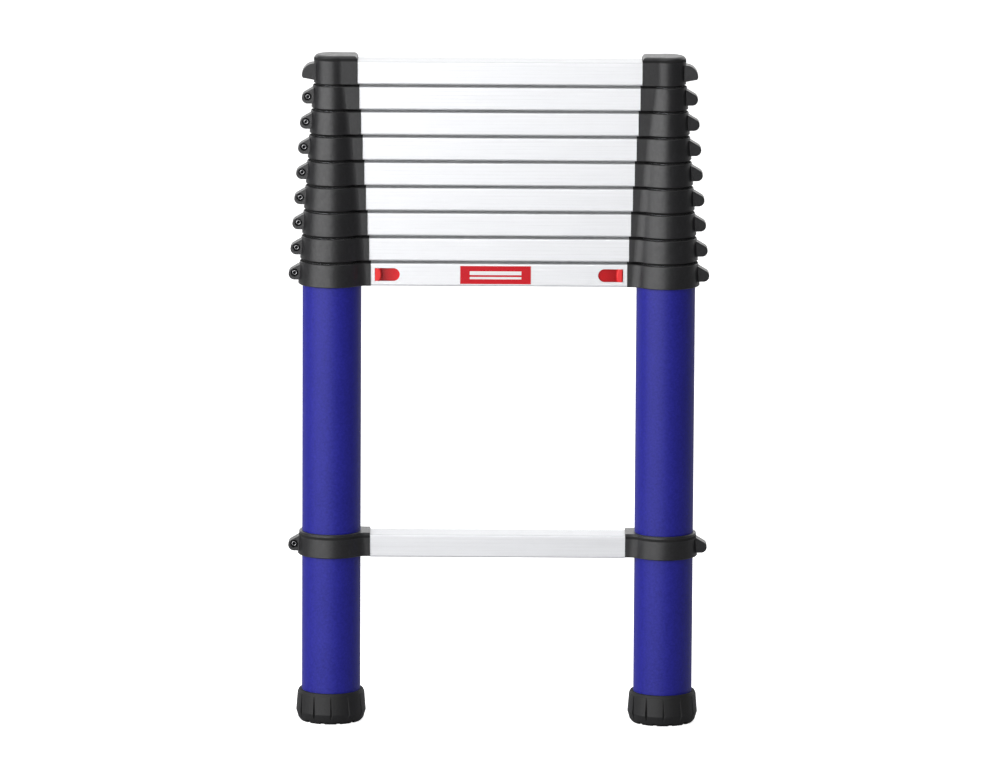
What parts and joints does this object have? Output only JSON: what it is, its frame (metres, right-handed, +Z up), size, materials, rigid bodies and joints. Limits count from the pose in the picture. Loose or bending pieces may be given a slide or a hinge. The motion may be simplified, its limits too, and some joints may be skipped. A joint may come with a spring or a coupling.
{
  "type": "telescoping ladder",
  "caption": "Closed telescoping ladder: nested round tubes on each side, hollow ribbed rungs held by moulded collars, blue outer tubes, rubber feet and red release slides.",
  "frame": {"origin": "on the ground, midway between the two feet", "axes": "+Z up along the tubes, +X to the right along the rungs, the front with the release slides faces -Y"},
  "size_m": [0.4572, 0.0764, 0.7354],
  "materials": {
    "outer_tube": "satin blue powder coat",
    "inner_tube": "anodised silver",
    "rung": "satin anodised, extruded ribs",
    "collar": "charcoal glass-filled nylon",
    "foot_rubber": "moulded black rubber",
    "screw": "black socket screw",
    "pin": "turned steel",
    "release": "red moulded plastic"
  },
  "bodies": {
    "base": {"outer_tube_left": "outer_tube", "outer_tube_right": "outer_tube", "foot_left": "foot_rubber", "foot_right": "foot_rubber", "rung_1": "rung", "rung_2": "rung", "collar_1_left": "collar", "collar_1_right": "collar", "collar_2_left": "collar", "collar_2_right": "collar", "collar_screws_base": "screw"},
    "release_left": {"release_button_left": "release", "lock_pin_2_left": "pin"},
    "release_right": {"release_button_right": "release", "lock_pin_2_right": "pin"},
    "section_2": {"tubes_2": "inner_tube", "rung_3": "rung", "collars_3": "collar", "collar_screws_3": "screw"},
    "section_3": {"tubes_3": "inner_tube", "rung_4": "rung", "collars_4": "collar", "collar_screws_4": "screw"},
    "section_4": {"tubes_4": "inner_tube", "rung_5": "rung", "collars_5": "collar", "collar_screws_5": "screw"},
    "section_5": {"tubes_5": "inner_tube", "rung_6": "rung", "collars_6": "collar", "collar_screws_6": "screw"},
    "section_6": {"tubes_6": "inner_tube", "rung_7": "rung", "collars_7": "collar", "collar_screws_7": "screw"},
    "section_7": {"tubes_7": "inner_tube", "rung_8": "rung", "collars_8": "collar", "collar_screws_8": "screw"},
    "section_8": {"tubes_8": "inner_tube", "rung_9": "rung", "collars_9": "collar", "collar_screws_9": "screw"},
    "section_9": {"tubes_9": "inner_tube", "rung_10": "rung", "collars_10": "collar"},
    "pin_3_left": {"lock_pin_3_left": "pin"},
    "pin_3_right": {"lock_pin_3_right": "pin"},
    "pin_4_left": {"lock_pin_4_left": "pin"},
    "pin_4_right": {"lock_pin_4_right": "pin"},
    "pin_5_left": {"lock_pin_5_left": "pin"},
    "pin_5_right": {"lock_pin_5_right": "pin"},
    "pin_6_left": {"lock_pin_6_left": "pin"},
    "pin_6_right": {"lock_pin_6_right": "pin"},
    "pin_7_left": {"lock_pin_7_left": "pin"},
    "pin_7_right": {"lock_pin_7_right": "pin"},
    "pin_8_left": {"lock_pin_8_left": "pin"},
    "pin_8_right": {"lock_pin_8_right": "pin"},
    "pin_9_left": {"lock_pin_9_left": "pin"},
    "pin_9_right": {"lock_pin_9_right": "pin"}
  },
  "joints": [
    {"name": "section_2_slide", "type": "slide", "parent": "base", "child": "section_2", "axis": [0, 0, 1], "range_m": [0, 0.2724]},
    {"name": "section_3_slide", "type": "slide", "parent": "section_2", "child": "section_3", "axis": [0, 0, 1], "range_m": [0, 0.2724]},
    {"name": "section_4_slide", "type": "slide", "parent": "section_3", "child": "section_4", "axis": [0, 0, 1], "range_m": [0, 0.2724]},
    {"name": "section_5_slide", "type": "slide", "parent": "section_4", "child": "section_5", "axis": [0, 0, 1], "range_m": [0, 0.2724]},
    {"name": "section_6_slide", "type": "slide", "parent": "section_5", "child": "section_6", "axis": [0, 0, 1], "range_m": [0, 0.2724]},
    {"name": "section_7_slide", "type": "slide", "parent": "section_6", "child": "section_7", "axis": [0, 0, 1], "range_m": [0, 0.2724]},
    {"name": "section_8_slide", "type": "slide", "parent": "section_7", "child": "section_8", "axis": [0, 0, 1], "range_m": [0, 0.2724]},
    {"name": "section_9_slide", "type": "slide", "parent": "section_8", "child": "section_9", "axis": [0, 0, 1], "range_m": [0, 0.2724]},
    {"name": "release_left_slide", "type": "slide", "parent": "base", "child": "release_left", "axis": [1, 0, 0], "range_m": [0, 0.009], "stiffness_N_per_m": 400},
    {"name": "release_right_slide", "type": "slide", "parent": "base", "child": "release_right", "axis": [-1, 0, 0], "range_m": [0, 0.009], "stiffness_N_per_m": 400},
    {"name": "pin_3_left_slide", "type": "slide", "parent": "section_2", "child": "pin_3_left", "axis": [1, 0, 0], "range_m": [0, 0.0055], "stiffness_N_per_m": 400},
    {"name": "pin_3_right_slide", "type": "slide", "parent": "section_2", "child": "pin_3_right", "axis": [-1, 0, 0], "range_m": [0, 0.0055], "stiffness_N_per_m": 400},
    {"name": "pin_4_left_slide", "type": "slide", "parent": "section_3", "child": "pin_4_left", "axis": [1, 0, 0], "range_m": [0, 0.0055], "stiffness_N_per_m": 400},
    {"name": "pin_4_right_slide", "type": "slide", "parent": "section_3", "child": "pin_4_right", "axis": [-1, 0, 0], "range_m": [0, 0.0055], "stiffness_N_per_m": 400},
    {"name": "pin_5_left_slide", "type": "slide", "parent": "section_4", "child": "pin_5_left", "axis": [1, 0, 0], "range_m": [0, 0.0055], "stiffness_N_per_m": 400},
    {"name": "pin_5_right_slide", "type": "slide", "parent": "section_4", "child": "pin_5_right", "axis": [-1, 0, 0], "range_m": [0, 0.0055], "stiffness_N_per_m": 400},
    {"name": "pin_6_left_slide", "type": "slide", "parent": "section_5", "child": "pin_6_left", "axis": [1, 0, 0], "range_m": [0, 0.0055], "stiffness_N_per_m": 400},
    {"name": "pin_6_right_slide", "type": "slide", "parent": "section_5", "child": "pin_6_right", "axis": [-1, 0, 0], "range_m": [0, 0.0055], "stiffness_N_per_m": 400},
    {"name": "pin_7_left_slide", "type": "slide", "parent": "section_6", "child": "pin_7_left", "axis": [1, 0, 0], "range_m": [0, 0.0055], "stiffness_N_per_m": 400},
    {"name": "pin_7_right_slide", "type": "slide", "parent": "section_6", "child": "pin_7_right", "axis": [-1, 0, 0], "range_m": [0, 0.0055], "stiffness_N_per_m": 400},
    {"name": "pin_8_left_slide", "type": "slide", "parent": "section_7", "child": "pin_8_left", "axis": [1, 0, 0], "range_m": [0, 0.0055], "stiffness_N_per_m": 400},
    {"name": "pin_8_right_slide", "type": "slide", "parent": "section_7", "child": "pin_8_right", "axis": [-1, 0, 0], "range_m": [0, 0.0055], "stiffness_N_per_m": 400},
    {"name": "pin_9_left_slide", "type": "slide", "parent": "section_8", "child": "pin_9_left", "axis": [1, 0, 0], "range_m": [0, 0.0055], "stiffness_N_per_m": 400},
    {"name": "pin_9_right_slide", "type": "slide", "parent": "section_8", "child": "pin_9_right", "axis": [-1, 0, 0], "range_m": [0, 0.0055], "stiffness_N_per_m": 400}
  ]
}
